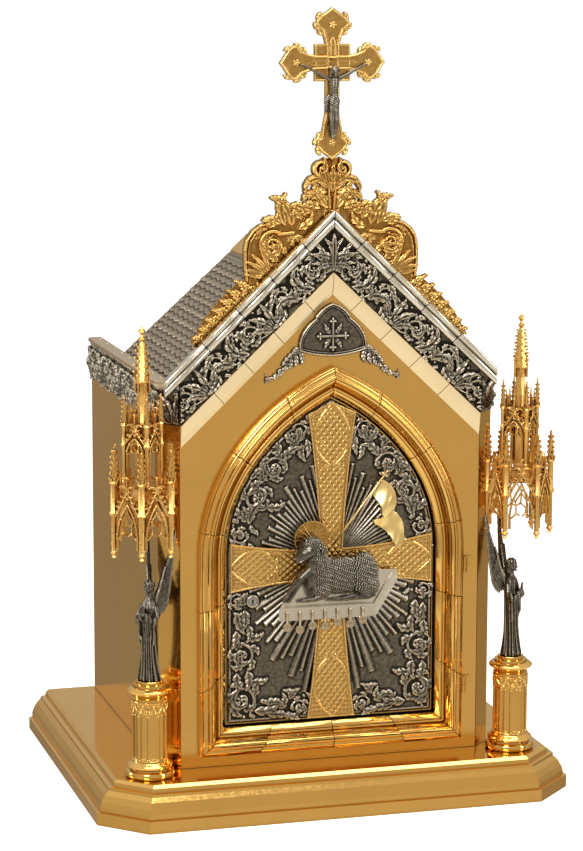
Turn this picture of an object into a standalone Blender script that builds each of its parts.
"""A Gothic tabernacle: a gilt brass house with a silver arched door, standing on a moulded base.

The origin is on the ground at the middle of the base, +Z is up and the door faces -Y. Lengths are in metres.
"""

import math

import bmesh
import bpy
from mathutils import Matrix, Vector

MM = 0.001
GAP = 0.3 * MM

# Driving dimensions. Depths named "y" are measured back from the face of the front wall.
FACE_Y = -153.5 * MM
BASE_HALF_WIDTH = 284 * MM
BASE_FRONT = -79.5 * MM
BASE_BACK = 386.5 * MM
BASE_CHAMFER = 50 * MM
BASE_HEIGHT = 49 * MM
BODY_HALF_WIDTH = 200 * MM
BODY_BACK = 380 * MM
BODY_CHAMFER = 21 * MM
SHEET = 3 * MM

FRIEZE_BOTTOM = 450 * MM
FRIEZE_TOP = 490 * MM
FRIEZE_PROUD = 6.5 * MM
LEDGE_TOP = 500 * MM
LEDGE_PROUD = 4 * MM
LEDGE_WIDTH = 16 * MM

GABLE_SLOPE = 0.95
GABLE_TOP = 690.5 * MM
CORNICE_DROP = 21 * MM
WALL_DROP = 19 * MM
FRIEZE_DROP = 71 * MM
FILLET_DROP = 97 * MM

ROOF_SLOPE = 0.9
ROOF_RIDGE = 620 * MM
ROOF_EAVE_X = 160 * MM
ROOF_FLANGE_X = 196 * MM
RIDGE_CAP_HALF = 21 * MM

DOOR_HALF_WIDTH = 124.8 * MM
DOOR_BOTTOM = 97 * MM
DOOR_FRONT_Y = 4 * MM
DOOR_THICKNESS = 6 * MM
FRAME_INNER = 126.8 * MM
SPRING_Z = 293 * MM
LOW_ARC_RADIUS = 180 * MM
LOW_ARC_TURN = math.radians(36)
DOOR_APEX = 475 * MM
HINGE_X = 161.5 * MM
HINGE_Y = -3.8 * MM
HINGE_HEIGHTS = {"lower": 118 * MM, "upper": 262 * MM}

PEDESTAL_X = 218 * MM
PEDESTAL_Y = -11 * MM
CANOPY_X = 224.5 * MM
CANOPY_Y = -12 * MM

LOCK_X = -93.5 * MM
LOCK_Z = 241.7 * MM
BOLT_TIP_X = -122 * MM

CREST_Y = 4 * MM
CREST_THICK = 6 * MM
CROSS_CENTRE = 855 * MM


# Helpers: materials, solids and Booleans.

def metal(name, colour, roughness, metallic=1.0):
    material = bpy.data.materials.new(name)
    material.use_nodes = True
    shader = material.node_tree.nodes["Principled BSDF"]
    shader.inputs["Base Color"].default_value = (*colour, 1)
    shader.inputs["Roughness"].default_value = roughness
    shader.inputs["Metallic"].default_value = metallic
    return material


def add_object(name, bm, material, helper=False):
    """Turns a bmesh into an object; a helper is a cutter or an operand that is not a part."""
    bmesh.ops.recalc_face_normals(bm, faces=bm.faces)
    if bm.calc_volume(signed=True) < 0:
        bmesh.ops.reverse_faces(bm, faces=bm.faces)
    mesh = bpy.data.meshes.new(name)
    bm.to_mesh(mesh)
    bm.free()
    mesh.materials.append(material)
    obj = bpy.data.objects.new(name, mesh)
    bpy.context.scene.collection.objects.link(obj)
    if helper:
        obj.hide_render = True
        obj.display_type = "WIRE"
    return obj


def fill_prism(bm, low, high):
    """Adds the closed solid between two rings of the same number of points."""
    lower = [bm.verts.new(point) for point in low]
    upper = [bm.verts.new(point) for point in high]
    bm.faces.new(lower[::-1])
    bm.faces.new(upper)
    for i in range(len(lower)):
        j = (i + 1) % len(lower)
        bm.faces.new((lower[i], lower[j], upper[j], upper[i]))


def upright(name, outline, bottom, top, material, helper=False):
    """A prism with its outline in X and Y, from one height to another."""
    bm = bmesh.new()
    fill_prism(bm, [(x, y, bottom) for x, y in outline], [(x, y, top) for x, y in outline])
    return add_object(name, bm, material, helper)


def facing(name, outline, front, back, material, helper=False):
    """A prism with its outline in X and Z, between two depths measured from the front wall's face."""
    bm = bmesh.new()
    fill_prism(
        bm,
        [(x, FACE_Y + front, z) for x, z in outline],
        [(x, FACE_Y + back, z) for x, z in outline],
    )
    return add_object(name, bm, material, helper)


def block(name, x, y, z, material, helper=False):
    """A box from its ranges; y is measured from the front wall's face."""
    outline = [(x[0], z[0]), (x[1], z[0]), (x[1], z[1]), (x[0], z[1])]
    return facing(name, outline, y[0], y[1], material, helper)


def turned(name, profile, segments, centre, material, turn=0.0, helper=False):
    """A solid of revolution about an upright axis; the profile is (radius, height) from bottom to top."""
    bm = bmesh.new()
    rings = []
    for radius, height in profile:
        ring = []
        for i in range(segments):
            angle = turn + math.tau * i / segments
            x = centre[0] + radius * math.cos(angle)
            y = centre[1] + radius * math.sin(angle)
            ring.append(bm.verts.new((x, y, height)))
        rings.append(ring)
    bm.faces.new(rings[0][::-1])
    bm.faces.new(rings[-1])
    for low, high in zip(rings, rings[1:]):
        for i in range(segments):
            j = (i + 1) % segments
            bm.faces.new((low[i], low[j], high[j], high[i]))
    return add_object(name, bm, material, helper)


def ball(name, centre, radii, material, turn=0.0, helper=False):
    bm = bmesh.new()
    bmesh.ops.create_uvsphere(bm, u_segments=12, v_segments=8, radius=1)
    size = Matrix.Diagonal((*radii, 1))
    place = Matrix.Translation(centre) @ Matrix.Rotation(turn, 4, "Y") @ size
    bm.transform(place)
    return add_object(name, bm, material, helper)


def bar(name, start, end, radii, material, sides=8, helper=False):
    """A round bar between two points, with its radius at each end."""
    bm = bmesh.new()
    start = Vector(start)
    along = Vector(end) - start
    bmesh.ops.create_cone(
        bm, cap_ends=True, segments=sides, radius1=radii[0], radius2=radii[1], depth=along.length
    )
    turn = along.to_track_quat("Z", "Y").to_matrix().to_4x4()
    bm.transform(Matrix.Translation(start + along / 2) @ turn)
    return add_object(name, bm, material, helper)


def combine(obj, others, operation):
    for other in others:
        modifier = obj.modifiers.new(other.name, "BOOLEAN")
        modifier.operation = operation
        modifier.solver = "EXACT"
        modifier.object = other
    return obj


def cut(obj, *cutters):
    return combine(obj, cutters, "DIFFERENCE")


def join(obj, *others):
    return combine(obj, others, "UNION")


def smooth(obj, angle=40):
    obj.data.shade_smooth()
    obj.data.set_sharp_from_angle(angle=math.radians(angle))
    return obj


# Outlines that several parts share.

def base_outline(inset):
    """The base's plan, with chamfered front corners, drawn in by inset at the front and sides."""
    half = BASE_HALF_WIDTH - inset
    front = FACE_Y + BASE_FRONT + inset
    back = FACE_Y + BASE_BACK
    corner = BASE_CHAMFER - (2 - math.sqrt(2)) * inset
    return [
        (-half, back), (-half, front + corner), (-half + corner, front),
        (half - corner, front), (half, front + corner), (half, back),
    ]


def arch_points(grow, steps=8):
    """The right half of a four-centred pointed arch that lies outside the door leaf's by grow.

    The low arc springs upright from the jamb, and the high arc meets it on their common normal and runs
    to the apex. Both keep their centres as the arch grows, so the mouldings of the frame stay parallel.
    """
    out = Vector((math.cos(LOW_ARC_TURN), math.sin(LOW_ARC_TURN)))
    low_centre = Vector((DOOR_HALF_WIDTH - LOW_ARC_RADIUS, SPRING_Z))
    reach = Vector((0, DOOR_APEX)) - low_centre
    along = reach.dot(out)
    top = reach.length_squared + LOW_ARC_RADIUS**2 - 2 * LOW_ARC_RADIUS * along
    high_radius = top / (2 * (LOW_ARC_RADIUS - along))
    high_centre = low_centre - (high_radius - LOW_ARC_RADIUS) * out
    last = math.acos(-high_centre.x / (high_radius + grow))
    points = []
    for i in range(steps):
        angle = LOW_ARC_TURN * i / (steps - 1)
        points.append(low_centre + (LOW_ARC_RADIUS + grow) * Vector((math.cos(angle), math.sin(angle))))
    for i in range(1, steps):
        angle = LOW_ARC_TURN + (last - LOW_ARC_TURN) * i / (steps - 1)
        points.append(high_centre + (high_radius + grow) * Vector((math.cos(angle), math.sin(angle))))
    points[-1].x = 0
    return points


def door_outline(grow):
    """The door opening's outline in X and Z, larger than the door leaf by grow all round."""
    half = DOOR_HALF_WIDTH + grow
    bottom = DOOR_BOTTOM - grow
    right = arch_points(grow)
    left = [(-point.x, point.y) for point in reversed(right[:-1])]
    return [(-half, bottom), (half, bottom)] + [(point.x, point.y) for point in right] + left


def gable_line(drop, x):
    return GABLE_TOP - drop - GABLE_SLOPE * abs(x)


def body_plan(inset, depth):
    """The front of the body's plan, from the left side round the chamfers, drawn in by inset."""
    half = BODY_HALF_WIDTH - inset
    corner = BODY_CHAMFER - (2 - math.sqrt(2)) * inset
    front = FACE_Y + inset
    return [(-half, FACE_Y + depth), (-half, front + corner), (-half + corner, front)]


# Base.

def make_base(gold, dark):
    profile = [
        (0, 0), (0, 14.5), (4, 15), (4, 20.5), (6, 26), (10, 33), (15, 38),
        (15, 41), (21, 41.5), (22, 46), (26, 49),
    ]
    bm = bmesh.new()
    rings = []
    for inset, height in profile:
        ring = [bm.verts.new((x, y, height * MM)) for x, y in base_outline(inset * MM)]
        rings.append(ring)
    bm.faces.new(rings[0][::-1])
    bm.faces.new(rings[-1])
    for low, high in zip(rings, rings[1:]):
        for i in range(len(low)):
            j = (i + 1) % len(low)
            bm.faces.new((low[i], low[j], high[j], high[i]))
    plinth = add_object("base_plinth", bm, gold)
    pocket = [(x, min(y, FACE_Y + BASE_BACK - 4 * MM)) for x, y in base_outline(30 * MM)]
    cut(plinth, upright("plinth_pocket", pocket, -1 * MM, BASE_HEIGHT - 4 * MM, gold, helper=True))
    plate = [(x * 0.998, y + (0.6 * MM if y < 0 else -0.6 * MM)) for x, y in pocket]
    upright("base_underplate", plate, 0, 2.5 * MM, dark)


# Body.

def make_body(gold):
    foot = BASE_HEIGHT + GAP
    flat = BODY_HALF_WIDTH - BODY_CHAMFER - GAP
    shoulder = gable_line(WALL_DROP, flat)
    outline = [
        (-flat, foot), (flat, foot), (flat, shoulder), (0, GABLE_TOP - WALL_DROP), (-flat, shoulder),
    ]
    front = facing("front_wall", outline, 0, SHEET, gold)
    cut(front, facing("front_wall_opening", door_outline(3.2 * MM), -5 * MM, 12 * MM, gold, helper=True))

    eave = roof_height(ROOF_EAVE_X) - SHEET - GAP
    for side, name in ((-1, "left_wall"), (1, "right_wall")):
        inner = side * (BODY_HALF_WIDTH - SHEET)
        outer = side * BODY_HALF_WIDTH
        depth = (BODY_CHAMFER + GAP, BODY_BACK - SHEET - GAP)
        block(name, sorted((inner, outer)), depth, (foot, eave), gold)

    # The back wall stands a little above the roof, so its top edge shows as a rim.
    rim = 1.5 * MM
    rim_eave = roof_height(ROOF_EAVE_X) + rim
    back = [
        (-BODY_HALF_WIDTH, foot), (BODY_HALF_WIDTH, foot), (BODY_HALF_WIDTH, rim_eave),
        (ROOF_EAVE_X, rim_eave), (0, ROOF_RIDGE + rim), (-ROOF_EAVE_X, rim_eave),
        (-BODY_HALF_WIDTH, rim_eave),
    ]
    facing("back_wall", back, BODY_BACK - SHEET, BODY_BACK, gold)

    for side, name in ((-1, "corner_post_left"), (1, "corner_post_right")):
        outer = BODY_CHAMFER - GAP
        inner = BODY_CHAMFER + 4 * MM
        half = BODY_HALF_WIDTH
        post = [
            (side * half, FACE_Y + outer), (side * (half - outer), FACE_Y),
            (side * (half - outer), FACE_Y + SHEET + GAP), (side * (half - inner), FACE_Y + SHEET + GAP),
            (side * (half - SHEET - GAP), FACE_Y + inner), (side * (half - SHEET - GAP), FACE_Y + outer),
        ]
        upright(name, post, foot, eave, gold)


def roof_height(x):
    return ROOF_RIDGE - ROOF_SLOPE * abs(x)


def make_roof(silver, gold):
    front = SHEET + GAP
    for side, name in ((-1, "roof_panel_left"), (1, "roof_panel_right")):
        inner = 5 * MM
        top = [(inner, roof_height(inner)), (ROOF_EAVE_X, roof_height(ROOF_EAVE_X))]
        top.append((ROOF_FLANGE_X, roof_height(ROOF_EAVE_X)))
        drop = 1.4 * SHEET
        bottom = [(x, z - drop) for x, z in reversed(top)]
        bottom[0] = (ROOF_FLANGE_X, roof_height(ROOF_EAVE_X) - SHEET)
        bottom[1] = (ROOF_EAVE_X, roof_height(ROOF_EAVE_X) - SHEET)
        outline = [(side * x, z) for x, z in top + bottom]
        panel = facing(name, outline, front, BODY_BACK - SHEET - GAP, silver)
        corner = [(177 * MM, -1 * MM), (215 * MM, -1 * MM), (215 * MM, 37 * MM)]
        corner = [(side * x, FACE_Y + y) for x, y in corner]
        cut(panel, upright(f"{name}_corner", corner, 460 * MM, 490 * MM, silver, helper=True))
    low = roof_height(RIDGE_CAP_HALF) + GAP
    cap = [
        (-RIDGE_CAP_HALF, low), (0, ROOF_RIDGE + GAP), (RIDGE_CAP_HALF, low),
        (RIDGE_CAP_HALF, low + 4 * MM), (0, ROOF_RIDGE + 5 * MM), (-RIDGE_CAP_HALF, low + 4 * MM),
    ]
    facing("ridge_cap", cap, front, BODY_BACK - SHEET - GAP, gold)


# Friezes and cornices.

def wrap_strip(inner, outer, back):
    """A strip that runs along the left side and round the left chamfer, between two offsets outward."""
    near = body_plan(-inner, back)
    far = body_plan(-outer, back)
    front_x = near[2][0]
    # Both ends stop at the same plane, so the strip meets the front band face to face.
    far[2] = (front_x, FACE_Y - outer)
    return near + far[::-1]


def make_friezes(silver, gold):
    for side, word in ((-1, "left"), (1, "right")):
        strip = wrap_strip(GAP, FRIEZE_PROUD, BODY_BACK)
        outline = [(-side * x, y) for x, y in strip]
        upright(f"side_frieze_{word}", outline, FRIEZE_BOTTOM, FRIEZE_TOP - GAP, silver)
        ledge_inner = BODY_HALF_WIDTH + LEDGE_PROUD - LEDGE_WIDTH
        outer_half = BODY_HALF_WIDTH + LEDGE_PROUD
        ledge = [
            (-ledge_inner, FACE_Y + BODY_BACK), (-outer_half, FACE_Y + BODY_BACK),
            (-outer_half, FACE_Y + BODY_CHAMFER), (-outer_half + 12 * MM, FACE_Y + 5 * MM),
            (-ledge_inner, FACE_Y + 5 * MM),
        ]
        upright(f"side_cornice_{word}", [(-side * x, y) for x, y in ledge], FRIEZE_TOP, LEDGE_TOP, silver)

    front_end = BODY_HALF_WIDTH - BODY_CHAMFER - GAP
    bottom = gable_line(FRIEZE_DROP, front_end)
    frieze = [
        (0, gable_line(CORNICE_DROP, 0) - GAP), (-front_end, gable_line(CORNICE_DROP, front_end) - GAP),
        (-front_end, bottom), (0, gable_line(FRIEZE_DROP, 0)), (front_end, bottom),
        (front_end, gable_line(CORNICE_DROP, front_end) - GAP),
    ]
    facing("gable_frieze", frieze, -FRIEZE_PROUD, -GAP, silver)

    reach = BODY_HALF_WIDTH - SHEET
    cornice = [
        (0, GABLE_TOP), (-reach, gable_line(0, reach)), (-reach, gable_line(CORNICE_DROP, reach)),
        (0, gable_line(CORNICE_DROP, 0)), (reach, gable_line(CORNICE_DROP, reach)),
        (reach, gable_line(0, reach)),
    ]
    facing("gable_cornice", cornice, -11 * MM, -GAP, silver)

    end = 178 * MM
    fillet = [
        (0, gable_line(FRIEZE_DROP, 0) - GAP), (-end, gable_line(FRIEZE_DROP, end) - GAP),
        (-end, gable_line(FILLET_DROP, end)), (0, gable_line(FILLET_DROP, 0)),
        (end, gable_line(FILLET_DROP, end)), (end, gable_line(FRIEZE_DROP, end) - GAP),
    ]
    facing("gable_fillet", fillet, -4.5 * MM, -GAP, gold)


# Crest and cross.

def mirrored(points):
    """Closes an outline from its right half, whose first and last points are on the middle line."""
    left = [(-x, z) for x, z in reversed(points) if x > 0]
    return list(points) + left


def make_crest(gold, silver):
    right = [
        (0, 668), (159, 518), (164, 545), (161, 560), (148, 578), (136, 594), (123, 609), (109, 614),
        (101, 612),
        (103, 627), (103, 647), (98, 661), (88, 671), (77, 676), (70, 682), (60, 692), (66, 702), (56, 709),
        (44, 705), (34, 699), (24, 700), (33, 708), (24, 716), (0, 718),
    ]
    outline = mirrored([(x * MM, z * MM) for x, z in right])
    back = CREST_Y + CREST_THICK
    facing("crest", outline, CREST_Y, back, gold)

    knot = [(0, 718.4), (20, 718.4), (23, 727), (23, 737), (16, 745), (0, 745)]
    facing("crest_knot", mirrored([(x * MM, z * MM) for x, z in knot]), CREST_Y - 3 * MM, back + 3 * MM, gold)

    centre = CROSS_CENTRE
    arm = 61.5 * MM
    waist = 9 * MM
    plate = 20.7 * MM
    lobe_at = 43 * MM
    lobe = 22.5 * MM
    foot = [(0, 745.4 * MM), (14 * MM, 752 * MM), (21 * MM, 766 * MM), (13 * MM, 780 * MM), (waist, 798 * MM)]
    head = [
        (waist, centre - plate), (plate, centre - plate), (plate, centre - waist), (lobe_at, centre - lobe),
        (arm, centre), (lobe_at, centre + lobe), (plate, centre + waist), (plate, centre + plate),
        (waist, centre + plate), (lobe, centre + lobe_at), (0, centre + arm),
    ]
    facing("cross", mirrored(foot + head), CREST_Y, back, gold)

    y = FACE_Y + CREST_Y - 5 * MM
    body = bar("corpus", (0, y, 806 * MM), (0, y, 850 * MM), (3 * MM, 4.4 * MM), silver)
    head = ball("corpus_head", (0, y, 853 * MM), (3.6 * MM, 3.6 * MM, 4.8 * MM), silver, helper=True)
    arms = []
    for side, word in ((-1, "left"), (1, "right")):
        hand = (side * 39 * MM, y + 2 * MM, 857 * MM)
        shoulder = (0, y, 846 * MM)
        arms.append(bar(f"corpus_arm_{word}", shoulder, hand, (2.6 * MM, 2 * MM), silver, helper=True))
    legs = bar("corpus_legs", (0, y, 772 * MM), (0, y, 812 * MM), (2.2 * MM, 2.6 * MM), silver, helper=True)
    join(body, head, *arms, legs)


# Medallion over the door.

def make_medallion(silver):
    right = [(0, 522.5), (24, 525), (41, 530), (38, 544), (25, 556), (14, 572), (0, 584)]
    outline = mirrored([(x * MM, z * MM) for x, z in right])
    facing("medallion", outline, -6 * MM, -GAP, silver)
    for side, word in ((-1, "left"), (1, "right")):
        sprig = [(45, 531), (44, 540), (53, 539), (67, 525), (81, 510), (81, 495), (70, 498), (60, 518)]
        outline = [(side * x * MM, z * MM) for x, z in sprig]
        facing(f"medallion_sprig_{word}", outline, -5 * MM, -GAP, silver)


# Door frame: a moulding that runs round the arched leaf and swings with it.

def make_door_frame(gold):
    profile = [
        (0, -GAP), (0, -2.5 * MM), (5 * MM, -7 * MM), (10 * MM, -8 * MM), (17 * MM, -16 * MM),
        (22 * MM, -17 * MM), (26 * MM, -14 * MM), (31.4 * MM, -12 * MM), (31.4 * MM, -GAP),
    ]
    base_grow = FRAME_INNER - DOOR_HALF_WIDTH
    bm = bmesh.new()
    rings = []
    for grow, y in profile:
        outline = door_outline(base_grow + grow)
        rings.append([bm.verts.new((x, FACE_Y + y, z)) for x, z in outline])
    for near, far in zip(rings, rings[1:] + rings[:1]):
        for i in range(len(near)):
            j = (i + 1) % len(near)
            bm.faces.new((near[i], near[j], far[j], far[i]))
    add_object("door_frame", bm, gold)


# Interior: the safe box that holds the vessels, its bearers and the keeper of the lock.

def make_interior(steel):
    half = 135 * MM
    inner = half - SHEET
    floor = 89 * MM
    top = 473 * MM
    front = 26 * MM
    back = 343 * MM
    box = block("inner_box", (-half, half), (front, back), (floor, top), steel)
    depth = (front - 1 * MM, back - SHEET)
    hollow = block("inner_box_hollow", (-inner, inner), depth, (floor + SHEET, top - SHEET), steel, True)
    cut(box, hollow)
    for side, word in ((-1, "left"), (1, "right")):
        x = sorted((side * 90 * MM, side * 112 * MM))
        block(f"inner_bearer_{word}", x, (40 * MM, 330 * MM), (BASE_HEIGHT + GAP, floor - GAP), steel)

    height = (LOCK_Z - 16 * MM, LOCK_Z + 16 * MM)
    keeper = block("strike_plate", (-141 * MM, -129.5 * MM), (SHEET + GAP, 24 * MM), height, steel)
    height = (LOCK_Z - 7 * MM, LOCK_Z + 7 * MM)
    pocket = block("strike_pocket", (-136 * MM, -128 * MM), (11.5 * MM, 20.5 * MM), height, steel, True)
    cut(keeper, pocket)


# Door: everything that swings with the leaf.

def make_door(gold, silver, steel):
    leaf_back = DOOR_FRONT_Y + DOOR_THICKNESS
    leaf = facing("door_leaf", door_outline(0), DOOR_FRONT_Y, leaf_back, gold)
    plug_hole = along_depth("plug_hole", LOCK_X, LOCK_Z, 5.6 * MM, -12 * MM, 40 * MM, gold, True)
    cut(leaf, plug_hole)

    panel = facing("door_panel", door_outline(-1.2 * MM), 1.2 * MM, DOOR_FRONT_Y - GAP, silver)
    cut(panel, plug_hole)

    make_door_frame(gold)
    make_door_cross(gold)
    make_lamb_group(gold, silver)
    make_hinges(gold)

    height = (LOCK_Z - 24 * MM, LOCK_Z + 24 * MM)
    case = block("lock_case", (-116 * MM, -72 * MM), (leaf_back + GAP, 24 * MM), height, steel)
    height = (LOCK_Z - 6.4 * MM, LOCK_Z + 6.4 * MM)
    channel = block("bolt_channel", (-120 * MM, -78 * MM), (12.4 * MM, 19.6 * MM), height, steel, True)
    cut(case, plug_hole, channel)
    height = (LOCK_Z - 6 * MM, LOCK_Z + 6 * MM)
    block("lock_bolt", (BOLT_TIP_X, -101 * MM), (13 * MM, 19 * MM), height, steel)
    plug = along_depth("lock_plug", LOCK_X, LOCK_Z, 5 * MM, -0.5 * MM, 22 * MM, steel)
    height = (LOCK_Z - 3.2 * MM, LOCK_Z + 2.2 * MM)
    slot = block("key_slot", (LOCK_X - 1 * MM, LOCK_X + 1 * MM), (-3 * MM, 14 * MM), height, steel, True)
    cut(plug, slot)


def make_hinges(gold):
    """Two lift-off hinges beside the frame: a knuckle and pin on the door, under a barrel on the wall."""
    for word, low in HINGE_HEIGHTS.items():
        axis = (HINGE_X, FACE_Y + HINGE_Y)
        middle = low + 9 * MM
        top = low + 19 * MM
        knuckle = bar(f"hinge_pin_{word}", (*axis, low), (*axis, middle), (3.2 * MM, 3.2 * MM), gold, 32)
        radius = 1.65 * MM
        ends = ((*axis, low + 4 * MM), (*axis, top - 1 * MM))
        pin = bar(f"hinge_shaft_{word}", *ends, (radius, radius), gold, 32, True)
        tab = block(
            f"hinge_tab_{word}", (158.5 * MM, HINGE_X), (-5.5 * MM, -2 * MM), (low, middle), gold, True
        )
        join(knuckle, tab, pin)

        barrel = bar(
            f"hinge_socket_{word}", (*axis, middle + GAP), (*axis, top), (3.2 * MM, 3.2 * MM), gold, 32
        )
        foot = block(
            f"hinge_foot_{word}", (HINGE_X, HINGE_X + 9 * MM), (-2.2 * MM, -GAP), (middle + GAP, top), gold, True
        )
        ends = ((*axis, low), (*axis, top + 2 * MM))
        hole = bar(f"hinge_hole_{word}", *ends, (1.72 * MM, 1.72 * MM), gold, 32, True)
        join(barrel, foot)
        cut(barrel, hole)


def along_depth(name, x, z, radius, front, back, material, helper=False, sides=32):
    start = (x, FACE_Y + front, z)
    end = (x, FACE_Y + back, z)
    return bar(name, start, end, (radius, radius), material, sides, helper)


def make_door_cross(gold):
    outline = [
        (-27, 99), (28, 99), (14, 235), (14, 258), (121.5, 254), (121.5, 312), (14, 310), (14, 334),
        (29, 457),
        (0, 470), (-27, 457), (-13, 334), (-13, 310), (-120.5, 313), (-120.5, 254), (-13, 258), (-13, 235),
    ]
    outline = [(x * MM, z * MM) for x, z in outline]
    facing("door_cross", outline, -2.5 * MM, 1.2 * MM - GAP, gold)


def make_lamb_group(gold, silver):
    # The sealed book leans out from the cross at its lower edge, and the lamb lies against its upper face.
    book = [(-67, 221, -13), (49, 220, -13), (78, 260, -4), (78, 271, -5), (-42, 275, -5), (-67, 232, -15)]
    near = [(x * MM, FACE_Y + y * MM, z * MM) for x, z, y in book]
    far = [(x, FACE_Y - 2.8 * MM, z) for x, _, z in near]
    bm = bmesh.new()
    fill_prism(bm, near, far)
    add_object("book_slab", bm, silver)

    y = FACE_Y - 19.5 * MM
    body = ball("lamb", (14 * MM, y, 268 * MM), (38 * MM, 10.2 * MM, 22.5 * MM), silver)
    head = ball("lamb_head", (-26 * MM, y, 300 * MM), (14 * MM, 6.8 * MM, 9.5 * MM), silver, 0.4, True)
    neck = bar("lamb_neck", (-22 * MM, y, 299 * MM), (0, y, 276 * MM), (6.5 * MM, 8.5 * MM), silver, 12, True)
    join(body, head, neck)

    ring = []
    for i in range(24):
        angle = math.tau * i / 24
        ring.append((-22 * MM + 21.5 * MM * math.cos(angle), 309 * MM + 21.5 * MM * math.sin(angle)))
    facing("halo", ring, -10.6 * MM, -9.4 * MM, gold)

    strap_y = (-12 * MM, -2.8 * MM)
    strip = block("seals", (-66 * MM, 47 * MM), strap_y, (216 * MM, 219 * MM), silver)
    pieces = []
    for i in range(7):
        x = (-55 + 15.3 * i) * MM
        across = (x - 1.5 * MM, x + 1.5 * MM)
        pieces.append(block(f"seal_strap_{i}", across, strap_y, (208 * MM, 217 * MM), silver, True))
        pieces.append(along_depth(f"seal_disc_{i}", x, 206 * MM, 4.8 * MM, *strap_y, silver, True, 12))
    join(strip, *pieces)

    staff_y = FACE_Y - 7 * MM
    ends = [(6 * MM, staff_y, 308 * MM), (64 * MM, staff_y, 389 * MM)]
    staff = bar("banner", *ends, (1.3 * MM, 1.3 * MM), gold)
    flag = [(58, 380), (44, 361), (62, 332), (84, 297), (85, 330), (72, 352)]
    outline = [(x * MM, z * MM) for x, z in flag]
    join(staff, facing("banner_flag", outline, -9 * MM, -6 * MM, gold, True))


# Pedestals with angels, under Gothic canopies.

def make_pedestals(gold):
    profile = [
        (26, 49.3), (27, 54), (28.5, 59), (28.5, 63), (26, 66), (24, 69), (25, 73), (25, 76),
        (22.5, 79), (20.3, 82),
        (20.3, 139), (22, 143), (25, 147), (25.5, 150), (24, 153), (20, 157), (18, 160), (17, 161),
    ]
    for side, word in ((-1, "left"), (1, "right")):
        centre = (side * PEDESTAL_X, FACE_Y + PEDESTAL_Y)
        points = [(radius * MM, height * MM) for radius, height in profile]
        smooth(turned(f"pedestal_{word}", points, 20, centre, gold))


def make_angels(silver):
    robe = [
        (13, 161.3), (13.5, 164), (9, 172), (8.5, 200), (9.5, 225), (11, 245), (9, 257), (4, 262), (6, 268),
        (6.5, 273), (4, 279), (1, 280),
    ]
    for side, word in ((-1, "left"), (1, "right")):
        centre = Vector((side * PEDESTAL_X, FACE_Y + PEDESTAL_Y, 0))
        points = [(radius * MM, height * MM) for radius, height in robe]
        angel = smooth(turned(f"angel_{word}", points, 12, centre, silver))
        back = Vector((-side, 1, 0)).normalized()
        across = Vector((side, 1, 0)).normalized()
        wings = []
        for hand in (-1, 1):
            bm = bmesh.new()
            shape = [(1, 242), (12, 235), (22, 262), (27, 300), (27, 329), (20, 318), (12, 285), (3, 262)]
            root = centre + back * 4 * MM
            inner = [root + across * (hand * x * MM) + Vector((0, 0, z * MM)) for x, z in shape]
            outer = [point + back * 4 * MM for point in inner]
            fill_prism(bm, inner, outer)
            wings.append(add_object(f"angel_wing_{word}_{hand}", bm, silver, helper=True))
        join(angel, *wings)


def pinnacle(name, x, y, half, heights, material):
    """A square buttress: pendant point, post, ring and spike, with its heights from bottom to top."""
    bottom, post, ring, neck, top = heights
    profile = [(half * 0.3, bottom), (half, post), (half, ring), (half * 1.3, ring + 1.5), (half, ring + 3),
               (half * 0.9, neck), (half * 0.3, top)]
    points = [(radius * MM, height * MM) for radius, height in profile]
    return turned(name, points, 6, (x, y), material, helper=True)


def pointed_cutter(name, centre, angle, half, spring, apex, bottom, reach, material):
    """A pointed-arch prism that cuts through both walls of a tier, along the direction at this angle."""
    right = [(half, bottom), (half, spring), (half * 0.72, spring + (apex - spring) * 0.55), (0, apex)]
    outline = right + [(-x, z) for x, z in reversed(right[:-1])]
    direction = Vector((math.cos(angle), math.sin(angle), 0))
    across = Vector((-math.sin(angle), math.cos(angle), 0))
    middle = Vector((*centre, 0))
    near = [middle - direction * reach + across * x + Vector((0, 0, z)) for x, z in outline]
    far = [point + direction * 2 * reach for point in near]
    bm = bmesh.new()
    fill_prism(bm, near, far)
    return add_object(name, bm, material, helper=True)


def make_canopies(gold):
    for side, word in ((-1, "left"), (1, "right")):
        centre = (side * CANOPY_X, FACE_Y + CANOPY_Y)
        outward = math.atan2(-1, side)
        make_lower_tier(word, centre, outward, gold)
        make_upper_tier(word, centre, outward, gold)
        spire = [
            (6.5, 386), (6.5, 500), (9, 504), (8.5, 512), (5, 545), (2.5, 549), (4.2, 558), (4.2, 562),
            (1, 568),
        ]
        points = [(radius * MM, height * MM) for radius, height in spire]
        turned(f"canopy_spire_{word}", points, 8, centre, gold)

        # Two short pins carry the canopy off the body's corner.
        corner = Vector((side * (BODY_HALF_WIDTH - BODY_CHAMFER / 2), FACE_Y + BODY_CHAMFER / 2, 0))
        direction = Vector((side, -1, 0)).normalized()
        start = corner + direction * 0.5 * MM + Vector((0, 0, 362 * MM))
        end = corner + direction * 3.8 * MM + Vector((0, 0, 362 * MM))
        plate = bar(f"canopy_bracket_{word}", start, end, (5 * MM, 5 * MM), gold, 12)
        second = bar(
            f"canopy_pin_{word}", start + Vector((0, 0, 7 * MM)), end + Vector((0, 0, 7 * MM)),
            (4 * MM, 4 * MM), gold, 12, True,
        )
        join(plate, second)


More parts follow.
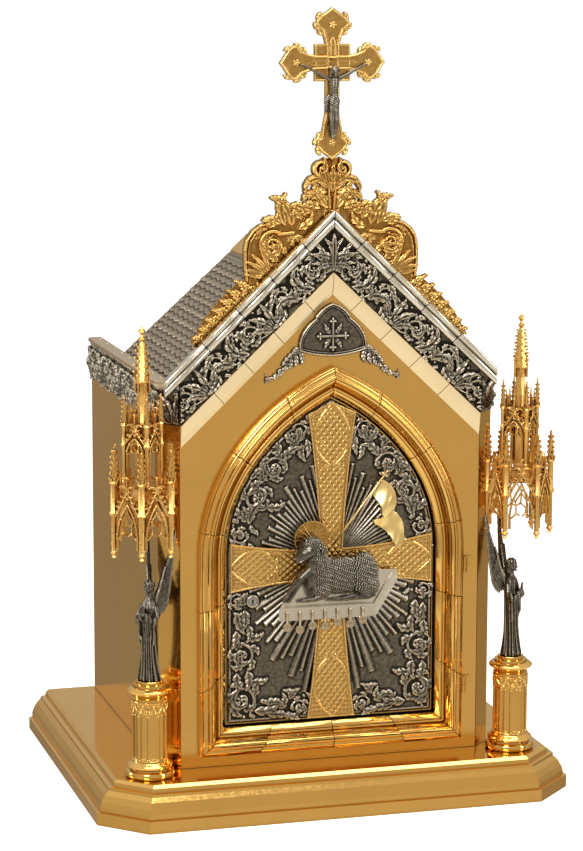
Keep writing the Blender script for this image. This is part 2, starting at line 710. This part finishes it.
def make_lower_tier(word, centre, outward, gold):
    wall = [
        (37, 330), (37, 372), (30, 378), (16, 381), (16, 385), (9, 385), (9, 378), (24, 374),
        (33, 368), (33, 330),
    ]
    ring = tube(f"canopy_lower_{word}", wall, 6, centre, outward + math.pi / 6, gold)
    cutters = []
    for i in range(3):
        angle = outward + i * math.pi / 3
        cutters.append(pointed_cutter(
            f"lower_arch_{word}_{i}", centre, angle, 11.5 * MM, 345 * MM, 364 * MM, 325 * MM, 50 * MM, gold
        ))
    cut(ring, *cutters)
    posts = []
    for i in range(6):
        angle = outward + math.pi / 6 + i * math.pi / 3
        x = centre[0] + 37.5 * MM * math.cos(angle)
        y = centre[1] + 37.5 * MM * math.sin(angle)
        posts.append(pinnacle(f"lower_post_{word}_{i}", x, y, 4, (306, 313, 359, 395, 430), gold))
    join(ring, *posts)


def make_upper_tier(word, centre, outward, gold):
    wall = [
        (21, 386), (21, 390), (20, 391), (20, 448), (15, 454), (10, 456), (10, 451), (16, 446),
        (16, 391), (10, 391),
        (10, 386),
    ]
    ring = tube(f"canopy_upper_{word}", wall, 4, centre, outward + math.pi / 4, gold)
    cutters = []
    for i in range(2):
        angle = outward + i * math.pi / 2
        cutters.append(pointed_cutter(
            f"upper_arch_{word}_{i}", centre, angle, 8.5 * MM, 425 * MM, 441 * MM, 393 * MM, 40 * MM, gold
        ))
    cut(ring, *cutters)
    posts = []
    for i in range(4):
        angle = outward + math.pi / 4 + i * math.pi / 2
        x = centre[0] + 21 * MM * math.cos(angle)
        y = centre[1] + 21 * MM * math.sin(angle)
        posts.append(pinnacle(f"upper_post_{word}_{i}", x, y, 3.4, (386, 389, 434, 458, 490), gold))
    join(ring, *posts)


def tube(name, profile, segments, centre, turn, material):
    """A closed ring turned from a profile of (radius, height) that goes once round its wall."""
    bm = bmesh.new()
    rings = []
    for radius, height in profile:
        ring = []
        for i in range(segments):
            angle = turn + math.tau * i / segments
            x = centre[0] + radius * MM * math.cos(angle)
            y = centre[1] + radius * MM * math.sin(angle)
            ring.append(bm.verts.new((x, y, height * MM)))
        rings.append(ring)
    for low, high in zip(rings, rings[1:] + rings[:1]):
        for i in range(segments):
            j = (i + 1) % segments
            bm.faces.new((low[i], low[j], high[j], high[i]))
    return add_object(name, bm, material)


def main():
    for obj in list(bpy.data.objects):
        bpy.data.objects.remove(obj, do_unlink=True)
    gold = metal("polished_gold", (0.83, 0.56, 0.22), 0.12)
    bright_gold = metal("satin_gold", (0.95, 0.78, 0.5), 0.25)
    silver = metal("aged_silver", (0.5, 0.48, 0.45), 0.3)
    steel = metal("steel", (0.45, 0.45, 0.47), 0.4)
    make_base(gold, steel)
    make_body(gold)
    make_roof(silver, gold)
    make_friezes(silver, bright_gold)
    make_crest(gold, silver)
    make_medallion(silver)
    make_interior(steel)
    make_door(gold, silver, steel)
    make_pedestals(gold)
    make_angels(silver)
    make_canopies(gold)


main()
